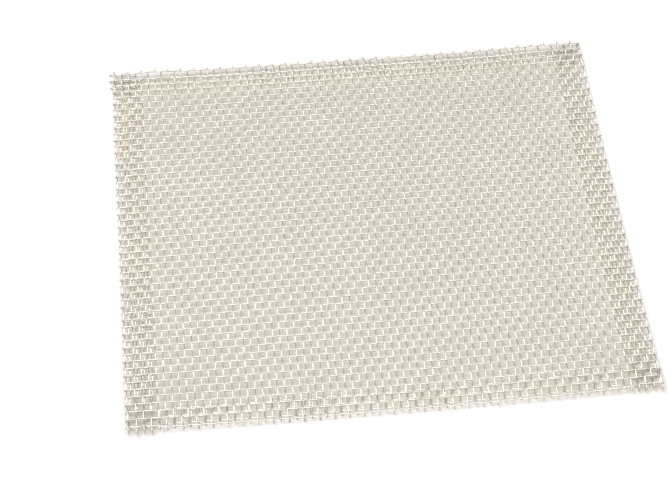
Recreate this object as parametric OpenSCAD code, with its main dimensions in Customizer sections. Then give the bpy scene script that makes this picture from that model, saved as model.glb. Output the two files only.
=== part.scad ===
// Wire gauze square for laboratory use: plain-woven wire cloth with all four edges turned under.
// X runs left to right, Y front to back, Z up. The sheet lies flat on its four thick corners.
// Warp wires run front to back and are crimped over and under the straight weft wires.

/* [Cloth] */
// Warp wires across the sheet
warp_count = 72; // [30:1:100]
// Weft wires from front to back
weft_count = 55; // [24:1:80]
// Spacing of the warp wires, mm
warp_pitch = 1.411; // [1.15:0.001:2.2]
// Spacing of the weft wires, mm
weft_pitch = 1.814; // [1.45:0.001:2.6]
// Wire diameter, mm
wire_d = 0.28; // [0.2:0.01:0.34]

/* [Hems] */
// Warp wires turned under along the left and right edges
side_cols = 4; // [2:1:6]
// Weft wires turned under along the front and back edges
end_rows = 3; // [2:1:6]
// Length of cut wire left past the last crossing, mm
stub = 0.45; // [0.2:0.01:0.6]

/* [Hidden] */
$fn = 16;

bays = 8;
weft_bays = 4;
// Play left between wires that cross
air = 0.01;

// ---- Weave ----
// Height of a crimp above and below the weft's centre, and the spacing of two nested layers of cloth
reach = wire_d + air;
crimp = near(reach / sqrt(1 - pow(2 * reach / weft_pitch, 2)), 0.0001);
slope = atan2(2 * crimp, weft_pitch);
layer = near(crimp + wire_d / 2 / cos(slope) + reach - wire_d / 2, 0.0001);
ground = 3 * layer + crimp + wire_d / 2 / cos(slope);

last_x = column_x(warp_count - 1);
last_y = row_y(weft_count - 1);
span = warp_count * warp_pitch;

function near(v, step) = round(v / step) * step;
function column_x(i) = (i - (warp_count - 1) / 2) * warp_pitch;
function row_y(j) = (j - (weft_count - 1) / 2) * weft_pitch;
// +1 where warp i passes over weft j, -1 where it passes under
function side(i, j) = (i + j) % 2 == 0 ? 1 : -1;

// ---- One wire along a path ----
// A path is a list of [along, up] points. Straight lengths are mitred where they meet, and two
// points one above the other are joined by a half-round fold.
function is_fold(a, b) = abs(b[0] - a[0]) < 0.00001;
function heading(a, b) = atan2(b[1] - a[1], b[0] - a[0]);
function straight(p, k) = k >= 0 && k < len(p) - 1 && !is_fold(p[k], p[k + 1]);
// Direction square to the cut at point k: midway between the headings of the lengths that meet
function cut_heading(p, k) =
  let (
    before = straight(p, k - 1) ? heading(p[k - 1], p[k]) : heading(p[k], p[k + 1]),
    after = straight(p, k) ? heading(p[k], p[k + 1]) : before
  )
  atan2(sin(before) + sin(after), cos(before) + cos(after));

// Neighbouring lengths meet face to face, so places and angles carry a six-digit part and a remainder
function six(v) =
  v == 0 ? 0 : let (unit = pow(10, floor(log(abs(v))) - 5)) round(v / unit) * unit;

module at(p) {
  translate([six(p[0]), 0, six(p[1])])
    translate([p[0] - six(p[0]), 0, p[1] - six(p[1])])
      children();
}

module tilt(angle) {
  coarse = atan2(six(sin(angle)), six(cos(angle)));
  rotate([0, -coarse, 0])
    rotate([0, coarse - angle, 0])
      children();
}

// All that lies beyond point p in one direction
module beyond(p, direction) {
  at(p)
    tilt(direction)
      translate([0, -wire_d, -span])
        cube([span, 2 * wire_d, 2 * span]);
}

module length_between(a, b, cut_a, cut_b) {
  intersection() {
    at(a)
      tilt(heading(a, b))
        translate([-wire_d, 0, 0])
          rotate([0, 90, 0])
            cylinder(d = wire_d, h = six(norm(b - a)) + 2 * wire_d);
    beyond(a, cut_a);
    beyond(b, cut_b + 180);
  }
}

module fold(a, b, outward) {
  at((a + b) / 2)
    rotate([90, 0, 0])
      rotate_extrude(start = outward > 0 ? -90 : 90, angle = 180)
        translate([abs(b[1] - a[1]) / 2, 0])
          circle(d = wire_d);
}

module wire(p) {
  for (k = [0 : len(p) - 2]) {
    if (straight(p, k))
      length_between(p[k], p[k + 1], cut_heading(p, k), cut_heading(p, k + 1));
    else
      fold(p[k], p[k + 1], p[k][0] - p[k - 1][0]);
  }
}

// ---- Warp wires ----
// A fold starts this far past the last weft: field, beside the corner, corner, and inside the corner
lead_field = near((weft_pitch - PI * layer / 2) / 2, 0.001);
lead_beside = near(0.55 * lead_field, 0.001);
lead_corner = near(0.12 * lead_field, 0.001);
lead_inner = near(0.46 * lead_field, 0.001);

// Crimped path over rows j0 to j1 at height z; s is the side at row j0
function crimps(j0, j1, z, s) =
  [for (j = [j0 : j1]) [row_y(j), z + ((j - j0) % 2 == 0 ? s : -s) * crimp]];
function reversed(p) = [for (k = [len(p) - 1 : -1 : 0]) p[k]];
function mirrored(p) = [for (q = p) [-q[0], q[1]]];

// Path of the back hem, from the fold's upper point to the cut end; s is the side at the last row
function hem_path(s, drop, lead) =
  let (
    rows = crimps(weft_count - end_rows, weft_count - 1, -drop, end_rows % 2 == 0 ? -s : s),
    first = rows[0]
  )
  concat(
    [[last_y + lead, s * crimp], [last_y + lead, s * crimp - drop]],
    reversed(rows),
    [[first[0] - stub, first[1]]]
  );

// One whole warp wire: front hem, field, back hem
module warp_wire(i, z, drop, lead) {
  translate([column_x(i), 0, ground + z])
    rotate([0, 0, 90])
      wire(concat(
        mirrored(reversed(hem_path(side(i, 0), drop, lead))),
        crimps(0, weft_count - 1, 0, side(i, 0)),
        hem_path(side(i, weft_count - 1), drop, lead)
      ));
}

module warp_field(i) {
  warp_wire(i, 0, layer, lead_field);
}

module warp_beside(i) {
  warp_wire(i, 0, 2 * layer, lead_beside);
}

module warp_corner(i) {
  warp_wire(i, 0, 3 * layer, lead_corner);
}

module warp_inner(i) {
  warp_wire(i, -layer, layer, lead_inner);
}

// A band of neighbouring warp wires between the two corners
module warp_bay(k) {
  first = side_cols + 1;
  total = warp_count - 2 * first;
  for (i = [first + floor((k - 1) * total / bays) : first + floor(k * total / bays) - 1])
    warp_field(i);
}

// ---- Weft wires ----
lead_side = max(0.02, near((warp_pitch - PI * layer / 2) / 2, 0.001));
fold_x = last_x + lead_side;
cut_x = column_x(warp_count - side_cols) - stub;

// Weft wire of the face, folded under at both ends
module weft_wire(j) {
  half = [[fold_x, 0], [fold_x, -layer], [cut_x, -layer]];
  translate([0, row_y(j), ground])
    wire(concat(mirrored(reversed(half)), half));
}

module weft_rows(j0, j1) {
  for (j = [j0 : j1])
    weft_wire(j);
}

module weft_bay(k) {
  total = weft_count - 2 * end_rows;
  weft_rows(end_rows + floor((k - 1) * total / weft_bays),
    end_rows + floor(k * total / weft_bays) - 1);
}

// In the front and back hems the weft steps down twice to pass under the corner, then folds upward
seat = near(0.57 * wire_d, 0.001);
ramp_x = column_x(warp_count - side_cols - 1);

module hem_weft_wire(j) {
  half = [
    [ramp_x - warp_pitch + seat, -layer],
    [ramp_x - seat, -2 * layer],
    [ramp_x + seat, -2 * layer],
    [ramp_x + warp_pitch - seat, -3 * layer],
    [fold_x, -3 * layer],
    [fold_x, -2 * layer],
    [cut_x, -2 * layer]
  ];
  translate([0, row_y(j), ground])
    wire(concat(mirrored(reversed(half)), half));
}

// ---- Named parts ----
module warp_bay_1() { color("silver") warp_bay(1); }
module warp_bay_2() { color("gainsboro") warp_bay(2); }
module warp_bay_3() { color("silver") warp_bay(3); }
module warp_bay_4() { color("gainsboro") warp_bay(4); }
module warp_bay_5() { color("silver") warp_bay(5); }
module warp_bay_6() { color("gainsboro") warp_bay(6); }
module warp_bay_7() { color("silver") warp_bay(7); }
module warp_bay_8() { color("gainsboro") warp_bay(8); }

module warp_corner_left() {
  color("lightsteelblue") {
    for (i = [0 : side_cols - 1])
      warp_corner(i);
    warp_beside(side_cols);
  }
}

module warp_corner_right() {
  color("lightsteelblue") {
    for (i = [warp_count - side_cols : warp_count - 1])
      warp_corner(i);
    warp_beside(warp_count - side_cols - 1);
  }
}

module hem_warp_left() {
  color("steelblue")
    for (i = [0 : side_cols - 1])
      warp_inner(i);
}

module hem_warp_right() {
  color("steelblue")
    for (i = [warp_count - side_cols : warp_count - 1])
      warp_inner(i);
}

module weft_front() { color("tan") weft_rows(0, end_rows - 1); }
module weft_bay_1() { color("wheat") weft_bay(1); }
module weft_bay_2() { color("tan") weft_bay(2); }
module weft_bay_3() { color("wheat") weft_bay(3); }
module weft_bay_4() { color("tan") weft_bay(4); }
module weft_back() { color("wheat") weft_rows(weft_count - end_rows, weft_count - 1); }

module hem_weft_front() {
  color("sienna")
    for (j = [0 : end_rows - 1])
      hem_weft_wire(j);
}

module hem_weft_back() {
  color("sienna")
    for (j = [weft_count - end_rows : weft_count - 1])
      hem_weft_wire(j);
}

warp_bay_1();
warp_bay_2();
warp_bay_3();
warp_bay_4();
warp_bay_5();
warp_bay_6();
warp_bay_7();
warp_bay_8();
warp_corner_left();
warp_corner_right();
hem_warp_left();
hem_warp_right();
weft_front();
weft_bay_1();
weft_bay_2();
weft_bay_3();
weft_bay_4();
weft_back();
hem_weft_front();
hem_weft_back();
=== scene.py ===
# %% [markdown]
# # Wire gauze
# A square of plain-woven wire cloth with its four edges turned under, as it is laid on a tripod
# below a beaker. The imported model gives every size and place. This script keeps that frame, and
# redraws the wires with the soft crimp, the play in the hems and the drawn-metal finish that exact
# solids leave out.

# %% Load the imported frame
import math

import bpy
from mathutils import Matrix, Vector, noise


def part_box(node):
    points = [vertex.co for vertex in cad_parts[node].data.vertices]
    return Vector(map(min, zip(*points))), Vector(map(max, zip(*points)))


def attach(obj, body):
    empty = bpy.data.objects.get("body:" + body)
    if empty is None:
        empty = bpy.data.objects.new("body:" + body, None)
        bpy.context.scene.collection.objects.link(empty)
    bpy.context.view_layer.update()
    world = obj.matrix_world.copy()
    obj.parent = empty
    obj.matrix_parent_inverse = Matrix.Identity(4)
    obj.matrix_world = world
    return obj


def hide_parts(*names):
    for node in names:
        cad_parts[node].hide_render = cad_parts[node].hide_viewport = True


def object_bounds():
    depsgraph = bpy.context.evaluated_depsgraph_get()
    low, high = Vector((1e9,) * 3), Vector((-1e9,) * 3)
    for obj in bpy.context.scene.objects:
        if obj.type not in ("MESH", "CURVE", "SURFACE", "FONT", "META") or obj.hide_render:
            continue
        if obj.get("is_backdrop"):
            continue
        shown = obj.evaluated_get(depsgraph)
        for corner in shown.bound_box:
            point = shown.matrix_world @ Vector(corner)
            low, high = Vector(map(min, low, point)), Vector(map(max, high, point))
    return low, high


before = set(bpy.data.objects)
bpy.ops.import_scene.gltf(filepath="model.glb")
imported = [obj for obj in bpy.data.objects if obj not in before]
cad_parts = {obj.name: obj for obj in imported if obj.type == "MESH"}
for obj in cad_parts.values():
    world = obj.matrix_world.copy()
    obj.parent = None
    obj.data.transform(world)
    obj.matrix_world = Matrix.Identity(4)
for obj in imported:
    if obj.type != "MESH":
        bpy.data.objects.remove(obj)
low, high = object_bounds()
print("packed size, mm:", [round((b - a) * 1000, 2) for a, b in zip(low, high)])

# %% [markdown]
# ## The camera
# The camera comes first, because it decides which details can be seen. It looks down at the cloth
# from in front, at about 47 degrees, through a long lens. Its place is worked out from the point
# that it looks at, a distance and three angles, so each can be changed by itself.

# %% Camera
MM = 0.001
LENS, SENSOR = 107.6, 36
look_at = Vector((-7.88, -5.46, -0.70)) * MM
distance = 405.8 * MM
azimuth, elevation, roll = math.radians(-4.63), math.radians(46.96), math.radians(-0.88)

back = Vector((
    math.sin(azimuth) * math.cos(elevation),
    -math.cos(azimuth) * math.cos(elevation),
    math.sin(elevation),
))
bpy.ops.object.camera_add(location=look_at + back * distance)
camera = bpy.context.object
camera.name = "camera"
camera.rotation_mode = "QUATERNION"
camera.rotation_quaternion = (
    (-back).to_track_quat("-Z", "Y") @ Matrix.Rotation(roll, 4, "Z").to_quaternion()
)
camera.data.lens = LENS
camera.data.sensor_width = SENSOR
camera.data.clip_start, camera.data.clip_end = 0.01, 20
bpy.context.scene.camera = camera
bpy.context.scene.view_settings.view_transform = "Standard"

# %% [markdown]
# ## Sizes of the weave
# Woven cloth is described by its counts and pitches. The counts, the wire and the width of the hems
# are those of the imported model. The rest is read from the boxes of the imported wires: the outer
# wires give the pitches, and the face wefts give the height of the face and of the layer below it.
# Where two wires cross, the warp bends much more than the weft.

# %% Weave
WARPS, WEFTS = 72, 55
SIDE_COLUMNS, END_ROWS = 4, 3
WIRE = 0.28 * MM
WARP_CRIMP, WEFT_CRIMP = 0.8 * WIRE, 0.2 * WIRE

first_column, last_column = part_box("warp_corner_left")[0].x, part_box("warp_corner_right")[1].x
column_pitch = (last_column - first_column - WIRE) / (WARPS - 1)
first_row, last_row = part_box("weft_front")[0].y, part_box("weft_back")[1].y
row_pitch = (last_row - first_row - WIRE) / (WEFTS - 1)
weft_low, weft_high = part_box("weft_bay_2")
face = weft_high.z - WIRE / 2
layer = weft_high.z - weft_low.z - WIRE


def column_x(i):
    return (i - (WARPS - 1) / 2) * column_pitch


def row_y(j):
    return (j - (WEFTS - 1) / 2) * row_pitch


def side(i, j):
    """+1 where warp i passes over weft j, -1 where it passes under."""
    return 1 if (i + j) % 2 == 0 else -1


print("pitches, mm:", round(column_pitch / MM, 3), round(row_pitch / MM, 3))
print("layer, mm:", round(layer / MM, 3))

# %% [markdown]
# ## How the cloth lies
# No real square is perfectly flat or true. This one spreads a little towards the back, sags between
# its thick corners, and has a slow wave in it. Each is a small, smooth function of place, and every
# point of every wire goes through it, so wires that cross still meet.

# %% The sheet as a whole, in millimetres
HALF_SHEET = 50 * MM
SPREAD, SPREAD_BEHIND, OFF_CENTRE, SKEW = 0.50, 0.55, -0.09, 0.20
SAG, CORNER_SIZE, LIFT = 0.70, 0.3, 0.07
WAVE_LENGTH, WAVE_LEVEL, WAVE_UP = 38 * MM, 0.28, 0.20


def sag(u, v):
    """The sheet rests on its thick corners, and hangs a little lower between them."""
    to_corner = math.hypot(1 - abs(u), 1 - abs(v))
    return SAG * (1 - math.exp(-((to_corner / CORNER_SIZE) ** 2)))


def settled(p):
    """Where a point of the flat cloth comes to lie, in a sheet that is not quite square."""
    u, v = p.x / HALF_SHEET, p.y / HALF_SHEET
    slow = Vector((p.x, p.y, 0)) / WAVE_LENGTH
    wave_x, wave_y, wave_z = (noise.noise(slow + Vector((0, 0, k))) for k in (1.5, 7.5, 13.5))
    return p + MM * Vector((
        u * (SPREAD + SPREAD_BEHIND * v) + OFF_CENTRE + WAVE_LEVEL * wave_x,
        SKEW * u * (1 - v) + WAVE_LEVEL * wave_y,
        WAVE_UP * wave_z + LIFT - sag(u, v),
    ))


# %% [markdown]
# ## Play between the wires
# No two wires are quite evenly spaced. The layers inside a hem lie between the wires of the face,
# and slip along the edge, because nothing holds them there. The corners, where four layers are
# folded into each other, do hold them, so there the play dies away. The outermost wires are pulled
# outward into the folds that go round them. All wires ask the same function where a crossing lies.

# %% Crossings
PLAY, PLAY_LENGTH = 0.09 * MM, 14 * MM
ZIGZAG, ZIGZAG_MORE, ZIGZAG_ROWS = 0.05, 0.08, 4
SLIP, SLIP_LENGTH, SLIP_MEAN = 0.80 * MM, 11 * MM, 0.4
FRONT_SEED, BACK_SEED, LEFT_SEED, RIGHT_SEED = 3.3, 5.3, 7.3, 9.3
HEM_SHIFT = 0.45
PULL_ROW, PULL_COLUMN = 0.38 * MM, 0.22 * MM


def drift(along, line):
    """Smooth number from -1 to 1 for a place along one of many lines."""
    return noise.noise(Vector((along / PLAY_LENGTH, line * 3.7, 0.5)))


def slip(along, seed):
    """How far a turned-under layer has slipped sideways at a place along its edge."""
    return SLIP * (noise.noise(Vector((along / SLIP_LENGTH, seed, 0))) + SLIP_MEAN)


def inward(v):
    """-1 or 1: the way from an edge to the middle."""
    return -1 if v > 0 else 1


def from_edge(k, count):
    """How many lines lie between a line and the nearer edge."""
    return min(k, count - 1 - k)


def slip_share(k, count, hem):
    """Share of the slip that a line of a hem takes: half at the fold, all at the cut."""
    return 0.5 + 0.5 * from_edge(k, count) / (hem - 1)


def freed(k, count, hem, lines):
    """0 where a corner holds a line, and 1 from so many lines past the corner."""
    return min(1, max(0, from_edge(k, count) - hem + 1) / lines)


def crossing(i, j, side_hem=False, end_hem=False):
    """Where warp i crosses weft j, in the face or in a turned-under layer."""
    x, y = column_x(i), row_y(j)
    near_end = max(0, ZIGZAG_ROWS - from_edge(j, WEFTS)) / ZIGZAG_ROWS
    zigzag = side(i, j) * (ZIGZAG + ZIGZAG_MORE * near_end) * MM
    across, along = PLAY * drift(y, i), PLAY * drift(x, j + 100) + zigzag
    if end_hem:
        seed = FRONT_SEED if y < 0 else BACK_SEED
        across += slip_share(j, WEFTS, END_ROWS) * slip(x, seed)
        along += inward(y) * HEM_SHIFT * row_pitch
    elif from_edge(j, WEFTS) == 0:
        along -= inward(y) * freed(i, WARPS, SIDE_COLUMNS, 2) * PULL_ROW
    if side_hem:
        seed = LEFT_SEED if x < 0 else RIGHT_SEED
        loose = freed(j, WEFTS, END_ROWS, 3)
        along += loose * slip_share(i, WARPS, SIDE_COLUMNS) * slip(y, seed)
        across += inward(x) * loose * HEM_SHIFT * column_pitch
    elif from_edge(i, WARPS) == 0:
        across -= inward(x) * PULL_COLUMN
    return x + across, y + along


# %% [markdown]
# ## One wire
# A wire is a Bezier curve with a round bevel. It has one control point at the top or bottom of each
# crimp, with level handles, which gives the soft wave that a loom leaves. Each fold is two more
# points, whose longer handles draw a half circle. A wire is first a list of knots: a place, a
# direction of travel, and the lengths of the two handles. Where a fold meets the rest of its wire,
# the handles are kept short, so the wire never doubles back on itself. A fold never starts before
# the wire that it goes round, or it would cut through it.

# %% Knots
HANDLE = 0.37
CLEAR = 0.06 * MM
END, END_VARIES = 0.45 * MM, 0.6
Y, X = Vector((0, 1, 0)), Vector((1, 0, 0))


def knot(place, direction, before, after):
    return {"at": Vector(place), "way": direction, "before": before, "after": after}


def turned_back(knots):
    """The same wire, walked the other way."""
    return [knot(k["at"], -k["way"], k["after"], k["before"]) for k in reversed(knots)]


def joined(*runs):
    """Runs of knots as one wire. Where two runs meet, each handle takes a third of the way."""
    wire = []
    for run in runs:
        if wire:
            wire[-1]["after"] = run[0]["before"] = (run[0]["at"] - wire[-1]["at"]).length / 3
        wire += run
    return wire


def folded_edge(start, stop, way):
    """Two knots whose handles draw a half circle, out along `way` and back."""
    bulge = 4 / 3 * (start - stop).length / 2
    return [knot(start, way, 0, bulge), knot(stop, -way, bulge, 0)]


def uneven(k, row):
    """Number from about -1 to 1 that has nothing to do with that of the next wire."""
    return 1.6 * noise.noise(Vector((k * 2.31 + 0.4, row, 2.5)))


def loose_end(knots, way, z_step, k):
    """Ends a wire a short way past its last knot; no two are cut to the same length."""
    length = END * (1 + END_VARIES * uneven(k, 4.4))
    knots[-1]["after"] = length / 3
    stop = knots[-1]["at"] + way * length + Vector((0, 0, z_step))
    return knots + [knot(stop, way, length / 3, length / 3)]


# %% [markdown]
# ## Warp wires
# The warps run from front to back and carry the strong crimp. One that ends above the last weft
# folds further out than one that ends below it, which gives the edge its row of small teeth. Along
# most of the edge a warp folds round one layer of cloth. Beside a corner it goes round two, and in
# the corner round all four.

# %% Warp wires
SHORT_FOLD, WARP_UNEVEN = 0.35 * MM, 0.10 * MM
WARP_END_STEP = 0.05 * MM
THICK_LEAD, BESIDE_LEAD, HEM_LEAD = 0.12, 0.55, 0.46
field_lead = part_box("warp_bay_2")[1].y - WIRE / 2 - layer / 2 - row_y(WEFTS - 1)


def warp_rows(i, rows, z, way, side_hem, end_hem=False):
    handle = HANDLE * row_pitch
    return [
        knot((*crossing(i, j, side_hem, end_hem), z + side(i, j) * WARP_CRIMP), way, handle, handle)
        for j in rows
    ]


def warp_end(i, z, drop, lead, step, side_hem):
    """From a warp's last crossing, out over the fold and back under it; step is 1 at the back."""
    last = WEFTS - 1 if step > 0 else 0
    way = Y * step
    up = z + side(i, last) * WARP_CRIMP
    reach = (lead if side(i, last) > 0 else lead - SHORT_FOLD) + WARP_UNEVEN * uneven(i, step)
    last_x, last_y = crossing(i, last, side_hem)
    edge = step * max(step * row_y(last) + reach, step * last_y + CLEAR)
    start = Vector((last_x, edge, up))
    stop = Vector((crossing(i, last, side_hem, True)[0], edge, up - drop))
    under = warp_rows(i, range(last, last - step * END_ROWS, -step), z - drop, -way, side_hem, True)
    return joined(folded_edge(start, stop, way), loose_end(under, -way, WARP_END_STEP, i))


def warp_wire(i, z, drop, lead, side_hem=False):
    front = turned_back(warp_end(i, z, drop, lead, -1, side_hem))
    rows = warp_rows(i, range(WEFTS), z, Y, side_hem)
    return joined(front, rows, warp_end(i, z, drop, lead, 1, side_hem))


def field_warp(i):
    return warp_wire(i, face, layer, field_lead)


def corner_warp(i):
    """Near a corner a warp folds round two or all four layers of cloth."""
    if from_edge(i, WARPS) < SIDE_COLUMNS:
        return warp_wire(i, face, 3 * layer, THICK_LEAD * field_lead)
    return warp_wire(i, face, 2 * layer, BESIDE_LEAD * field_lead)


def hem_warp(i):
    """A warp of a side hem lies one layer down, and its own ends fold inside the corners."""
    return warp_wire(i, face - layer, layer, HEM_LEAD * field_lead, True)


# %% [markdown]
# ## Weft wires
# The wefts run from side to side and are almost straight. Each folds under at both sides and ends
# inside the side hem. The wefts of the front and back hems lie a layer down, and step down twice
# more to pass below the corners. At the back left corner two folds have been knocked, and stand out.

# %% Weft wires
WEFT_UNEVEN = 0.14 * MM
WEFT_END_STEP = -0.04 * MM
LOOSE_FOLDS, LOOSE_FOLD = 2, 0.6 * MM
fold_x = weft_high.x - WIRE / 2 - layer / 2


def weft_columns(j, columns, level, way, side_hem=False, end_hem=False):
    handle = HANDLE * column_pitch
    return [
        knot(
            (*crossing(i, j, side_hem, end_hem), level(i) - side(i, j) * WEFT_CRIMP),
            way, handle, handle,
        )
        for i in columns
    ]


def weft_end(j, z, drop, step, end_hem):
    """From a weft's last crossing, out over the fold and back; step is 1 at the right."""
    last = WARPS - 1 if step > 0 else 0
    way = X * step
    last_x, last_y = crossing(last, j, False, end_hem)
    edge = step * max(fold_x + WEFT_UNEVEN * uneven(j, step + 8), step * last_x + CLEAR)
    if step < 0 and j >= WEFTS - LOOSE_FOLDS:
        edge -= LOOSE_FOLD
    start = Vector((edge, last_y, z - side(last, j) * WEFT_CRIMP))
    stop = Vector((edge, crossing(last, j, True, end_hem)[1], z - drop))
    columns = range(last, last - step * SIDE_COLUMNS, -step)
    under = weft_columns(j, columns, lambda i: z - drop, -way, True, end_hem)
    return joined(folded_edge(start, stop, way), loose_end(under, -way, WEFT_END_STEP, j))


def weft_wire(j, level, z_end, drop, end_hem=False):
    left = turned_back(weft_end(j, z_end, drop, -1, end_hem))
    across = weft_columns(j, range(WARPS), level, X, False, end_hem)
    return joined(left, across, weft_end(j, z_end, drop, 1, end_hem))


def face_weft(j):
    return weft_wire(j, lambda i: face, face, layer)


def hem_level(i):
    """A weft in the front or back hem steps down twice to pass under the corner."""
    return face - layer * min(3, max(1, 2 + SIDE_COLUMNS - from_edge(i, WARPS)))


def hem_weft(j):
    """Turned-under cloth lies upside down, so these wefts fold upward."""
    return weft_wire(j, hem_level, face - 3 * layer, -layer, True)


# %% [markdown]
# ## From knots to wires
# One curve object holds all the wires of a imported node, one spline each. The bevel gives them their
# round section and closed ends, and turning the curve into a mesh fixes it. The imported solid whose
# wires a piece redraws is hidden from view, and so stays as the collision shape only. The warps bend
# more than the wefts, so they get more steps from one crossing to the next.

# %% Wire pieces
ROUNDNESS = 2
WARP_STEPS, WEFT_STEPS = 5, 3
WARP_BAYS, WEFT_BAYS = 8, 4


def add_spline(curve, knots):
    spline = curve.splines.new("BEZIER")
    spline.bezier_points.add(len(knots) - 1)
    for p, k in zip(spline.bezier_points, knots):
        p.handle_left_type = p.handle_right_type = "FREE"
        p.co = settled(k["at"])
        p.handle_left = settled(k["at"] - k["way"] * k["before"])
        p.handle_right = settled(k["at"] + k["way"] * k["after"])
    spline.resolution_u = curve.resolution_u


def wire_piece(name, node, wires, steps):
    bpy.ops.object.select_all(action="DESELECT")
    bpy.ops.curve.primitive_bezier_curve_add(location=(0, 0, 0))
    piece = bpy.context.object
    piece.name = piece.data.name = name
    piece.data.splines.clear()
    piece.data.dimensions = "3D"
    piece.data.resolution_u = steps
    piece.data.bevel_depth = WIRE / 2
    piece.data.bevel_resolution = ROUNDNESS
    piece.data.use_fill_caps = True
    for knots in wires:
        add_spline(piece.data, knots)
    bpy.ops.object.convert(target="MESH")
    piece = bpy.context.object
    bpy.ops.object.shade_smooth()
    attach(piece, "root")
    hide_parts(node)
    return piece


def shares(first, stop, parts):
    """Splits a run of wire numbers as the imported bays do."""
    total = stop - first
    cuts = [first + k * total // parts for k in range(parts + 1)]
    return [range(a, b) for a, b in zip(cuts, cuts[1:])]


pieces = []
for k, columns in enumerate(shares(SIDE_COLUMNS + 1, WARPS - SIDE_COLUMNS - 1, WARP_BAYS), 1):
    wires = map(field_warp, columns)
    pieces.append(wire_piece(f"warp_wires_{k}", f"warp_bay_{k}", wires, WARP_STEPS))
for k, rows in enumerate(shares(END_ROWS, WEFTS - END_ROWS, WEFT_BAYS), 1):
    wires = map(face_weft, rows)
    pieces.append(wire_piece(f"weft_wires_{k}", f"weft_bay_{k}", wires, WEFT_STEPS))
print("pieces in the field:", len(pieces))

# %% Wires of the hems and corners
left, right = range(SIDE_COLUMNS), range(WARPS - SIDE_COLUMNS, WARPS)
left_corner, right_corner = range(SIDE_COLUMNS + 1), range(WARPS - SIDE_COLUMNS - 1, WARPS)
front, rear = range(END_ROWS), range(WEFTS - END_ROWS, WEFTS)
edges = [
    ("corner_wires_left", "warp_corner_left", corner_warp, left_corner, WARP_STEPS),
    ("corner_wires_right", "warp_corner_right", corner_warp, right_corner, WARP_STEPS),
    ("turned_warps_left", "hem_warp_left", hem_warp, left, WARP_STEPS),
    ("turned_warps_right", "hem_warp_right", hem_warp, right, WARP_STEPS),
    ("weft_wires_front", "weft_front", face_weft, front, WEFT_STEPS),
    ("weft_wires_back", "weft_back", face_weft, rear, WEFT_STEPS),
    ("turned_wefts_front", "hem_weft_front", hem_weft, front, WEFT_STEPS),
    ("turned_wefts_back", "hem_weft_back", hem_weft, rear, WEFT_STEPS),
]
for name, node, make, numbers, steps in edges:
    pieces.append(wire_piece(name, node, map(make, numbers), steps))
print("wire pieces:", len(pieces), "faces:", sum(len(p.data.polygons) for p in pieces))

# %% [markdown]
# ## Shader sums
# A material is a small tree of nodes. The Value class lets sums of sockets be written as sums, and
# the Tree class adds any other node in one line.

# %% Shader helpers
class Value:
    """A socket that can be used in sums."""

    def __init__(self, tree, socket):
        self.tree, self.socket = tree, socket

    def _maths(self, operation, other, swap=False):
        a, b = (other, self) if swap else (self, other)
        return self.tree.node("ShaderNodeMath", {"operation": operation}, {0: a, 1: b})[0]

    def __add__(self, other):
        return self._maths("ADD", other)

    def __radd__(self, other):
        return self._maths("ADD", other, True)

    def __sub__(self, other):
        return self._maths("SUBTRACT", other)

    def __rsub__(self, other):
        return self._maths("SUBTRACT", other, True)

    def __mul__(self, other):
        return self._maths("MULTIPLY", other)

    def __rmul__(self, other):
        return self._maths("MULTIPLY", other, True)

    def __abs__(self):
        return self.tree.node("ShaderNodeMath", {"operation": "ABSOLUTE"}, {0: self})[0]


class Tree:
    """The nodes of a material or a world, with one way to add a node."""

    def __init__(self, owner):
        owner.use_nodes = True
        self.owner = owner
        self.tree = owner.node_tree
        self.tree.nodes.clear()

    def node(self, kind, settings=(), inputs=()):
        made = self.tree.nodes.new(kind)
        for key, value in dict(settings).items():
            setattr(made, key, value)
        for key, value in dict(inputs).items():
            if isinstance(value, Value):
                self.tree.links.new(value.socket, made.inputs[key])
            else:
                made.inputs[key].default_value = value
        return [Value(self, s) for s in made.outputs]

    def mix(self, factor, a, b):
        colours = {"data_type": "RGBA"}
        return self.node("ShaderNodeMix", colours, {0: factor, 6: a, 7: b})[2]

    def larger(self, a, b):
        return self.node("ShaderNodeMath", {"operation": "MAXIMUM"}, {0: a, 1: b})[0]

    def ease(self, value, start, stop, low=0.0, high=1.0):
        """A soft step from `low` to `high`, while the value goes from `start` to `stop`."""
        ends = {"From Min": start, "From Max": stop, "To Min": low, "To Max": high}
        smooth = {"interpolation_type": "SMOOTHSTEP"}
        return self.node("ShaderNodeMapRange", smooth, {**ends, "Value": value})[0]

    def finish(self, shader):
        self.node("ShaderNodeOutputMaterial", {}, {"Surface": shader})
        return self.owner


# %% [markdown]
# ## Drawn wire
# The wire is bright steel that has been drawn through a die and has dulled slightly. It is a metal
# with a pale warm colour. Slow patches are a little darker, fine marks vary the shine, and a faint
# bump breaks up the reflections.

# %% Wire metal
BRIGHT, DULL = (0.80, 0.775, 0.725, 1), (0.64, 0.61, 0.56, 1)
PATCH_SCALE, MARK_SCALE = 160.0, 5200.0


def drawn_steel():
    t = Tree(bpy.data.materials.new("drawn_steel_wire"))
    place = t.node("ShaderNodeTexCoord")[3]
    patches = t.node(
        "ShaderNodeTexNoise", {}, {"Vector": place, "Scale": PATCH_SCALE, "Detail": 3.0}
    )[0]
    marks = t.node(
        "ShaderNodeTexNoise", {}, {"Vector": place, "Scale": MARK_SCALE, "Detail": 2.0}
    )[0]
    bump = t.node(
        "ShaderNodeBump", {}, {"Strength": 0.12, "Distance": 0.02 * MM, "Height": marks}
    )[0]
    shader = t.node("ShaderNodeBsdfPrincipled", {}, {
        "Base Color": t.mix(patches, BRIGHT, DULL),
        "Metallic": 0.9,
        "Roughness": 0.30 + marks * 0.2,
        "Normal": bump,
    })[0]
    return t.finish(shader)


steel = drawn_steel()
for piece in pieces:
    piece.data.materials.clear()
    piece.data.materials.append(steel)
print("wire metal on", len(pieces), "pieces")
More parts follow.
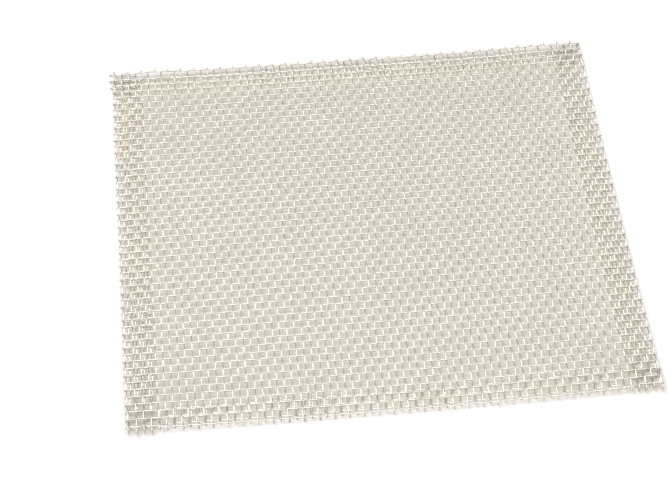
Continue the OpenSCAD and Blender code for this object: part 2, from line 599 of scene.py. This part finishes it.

# %% [markdown]
# ## The bench
# The square lies on a pale, slightly warm bench. The lamps light it at a plain level, and a glow
# that only the camera and the reflections see makes it read as white round the cloth. Under the
# cloth the glow is small and warm, a painted shade, so the bench reads as cream between the wires.
# In the deep shade of the hems and corners, found by ambient occlusion, it is raised again as a
# painted light, which keeps them from going too dark. The painted shade is drawn by place: its soft
# step follows the edge of the cloth, and lies a little further in along the front.

# %% Floor
BENCH = (0.72, 0.70, 0.665, 1)
GLOW_BESIDE = (0.38, 0.38, 0.40, 1)
# Glow colours under the cloth: painted shade over the field, and painted light lifting the hems and
# corners.
PAINTED_SHADE_UNDER_FIELD, PAINTED_LIFT_UNDER_HEM = (0.07, 0.06, 0.04, 1), (0.33, 0.30, 0.25, 1)
SHADE_REACH, SHADE_SAMPLES = 4 * MM, 16
# Where the painted shade under the cloth fades out, and how far it is set back at the front.
PAINTED_SHADE_START, PAINTED_SHADE_STOP, PAINTED_SHADE_SET_BACK = 49.2 * MM, 52.6 * MM, 1.3 * MM


def bench():
    t = Tree(bpy.data.materials.new("pale_bench"))
    path = t.node("ShaderNodeLightPath")
    seen = t.larger(path[0], path[3])
    open_sky = t.node(
        "ShaderNodeAmbientOcclusion", {"samples": SHADE_SAMPLES}, {"Distance": SHADE_REACH}
    )[1]
    # Painted shade under the cloth, lifted by painted light where the occlusion is deep.
    painted_shade_and_lift = t.mix(open_sky * 2 - 0.6, PAINTED_LIFT_UNDER_HEM, PAINTED_SHADE_UNDER_FIELD)
    x, y, _ = t.node("ShaderNodeSeparateXYZ", {}, {0: t.node("ShaderNodeTexCoord")[3]})
    # Painted shade drawn by place: a soft square round the cloth, set back at the front.
    out = t.larger(abs(x), abs(y - PAINTED_SHADE_SET_BACK) + PAINTED_SHADE_SET_BACK)
    clear_of_painted_shade = t.ease(out, PAINTED_SHADE_START, PAINTED_SHADE_STOP)
    backdrop_glow_and_painted_shade = t.mix(clear_of_painted_shade, painted_shade_and_lift, GLOW_BESIDE)
    matt = t.node("ShaderNodeBsdfDiffuse", {}, {"Color": BENCH})[0]
    light = t.node("ShaderNodeEmission", {}, {"Color": backdrop_glow_and_painted_shade, "Strength": seen})[0]
    return t.finish(t.node("ShaderNodeAddShader", {}, {0: matt, 1: light})[0])


bpy.ops.mesh.primitive_plane_add(size=8, location=(0, 0, low.z))
floor = bpy.context.object
floor.name = "floor"
floor.data.materials.append(bench())
floor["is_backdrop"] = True

# %% [markdown]
# ## Lamps
# A wide softbox above the front gives the plain light. A small window above the front left adds a
# sharper light from one side.

# %% Lamps
def lamp(name, place, width, depth, power):
    """A rectangular lamp that faces the middle of the sheet."""
    bpy.ops.object.light_add(type="AREA", location=place)
    light = bpy.context.object
    light.name = name
    light.data.shape = "RECTANGLE"
    light.data.size, light.data.size_y = width, depth
    light.data.energy = power
    light.rotation_mode = "QUATERNION"
    light.rotation_quaternion = Vector(place).to_track_quat("Z", "Y")


lamp("softbox", (0, -0.45, 0.8), 1.8, 0.8, 5.7)
lamp("window", (-0.35, -0.25, 0.9), 0.22, 0.22, 2.75)

# %% [markdown]
# ## The room in the metal
# Metal shows what surrounds it, so the room is drawn for the reflections alone. It is brighter at
# the back than at the front. A bright band across the ceiling lights the front slope of each crimp,
# which makes the row of bright dashes along a warp. The far wall and the two sides are darker, so
# the back slopes and the flanks of the wires are dark. The camera sees plain white, and all other
# light from the room is even.

# %% Room
FRONT_WALL, BACK_WALL = 0.30, 0.88
BAND_AT, BAND_EDGE, BAND_STOP, BAND_LIGHT = 0.12, 0.08, 0.20, 4.2
FAR_START, FAR_STOP, FAR_LOSS = 0.55, 0.95, 0.6
SIDE_START, SIDE_STOP, SIDE_SHARE = 0.45, 0.95, 0.4
ROOM_LIGHT = 0.40


def soft_room():
    """White to the camera, a banded room to the metal, and an even light to the rest."""
    world = bpy.data.worlds.new("soft_room")
    bpy.context.scene.world = world
    t = Tree(world)
    path = t.node("ShaderNodeLightPath")
    way = t.node("ShaderNodeTexCoord")[0]
    across, depth, _ = t.node("ShaderNodeSeparateXYZ", {}, {0: way})
    walls = t.ease(depth, -0.3, 0.5, FRONT_WALL, BACK_WALL)
    band = t.ease(abs(depth - BAND_AT), BAND_EDGE, BAND_STOP, BAND_LIGHT, 0.0)
    far_loss = t.ease(depth, FAR_START, FAR_STOP, 0.0, FAR_LOSS)
    sides = t.ease(abs(across), SIDE_START, SIDE_STOP, 1.0, SIDE_SHARE)
    mirrored = (walls + band - far_loss) * sides
    even = {"Value": path[0], "To Min": ROOM_LIGHT, "To Max": 1.0}
    rest = t.node("ShaderNodeMapRange", {}, even)[0]
    strength = path[3] * mirrored + (1 - path[3]) * rest
    paint = {"Color": (1, 0.99, 0.97, 1), "Strength": strength}
    light = t.node("ShaderNodeBackground", {}, paint)[0]
    t.node("ShaderNodeOutputWorld", {}, {"Surface": light})


soft_room()

# %% [markdown]
# ## Finish
# The boxes of the imported and the finished model are printed, to be set side by side.

# %% Finish
low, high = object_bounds()
print("finished size, mm:", [round((b - a) * 1000, 2) for a, b in zip(low, high)])
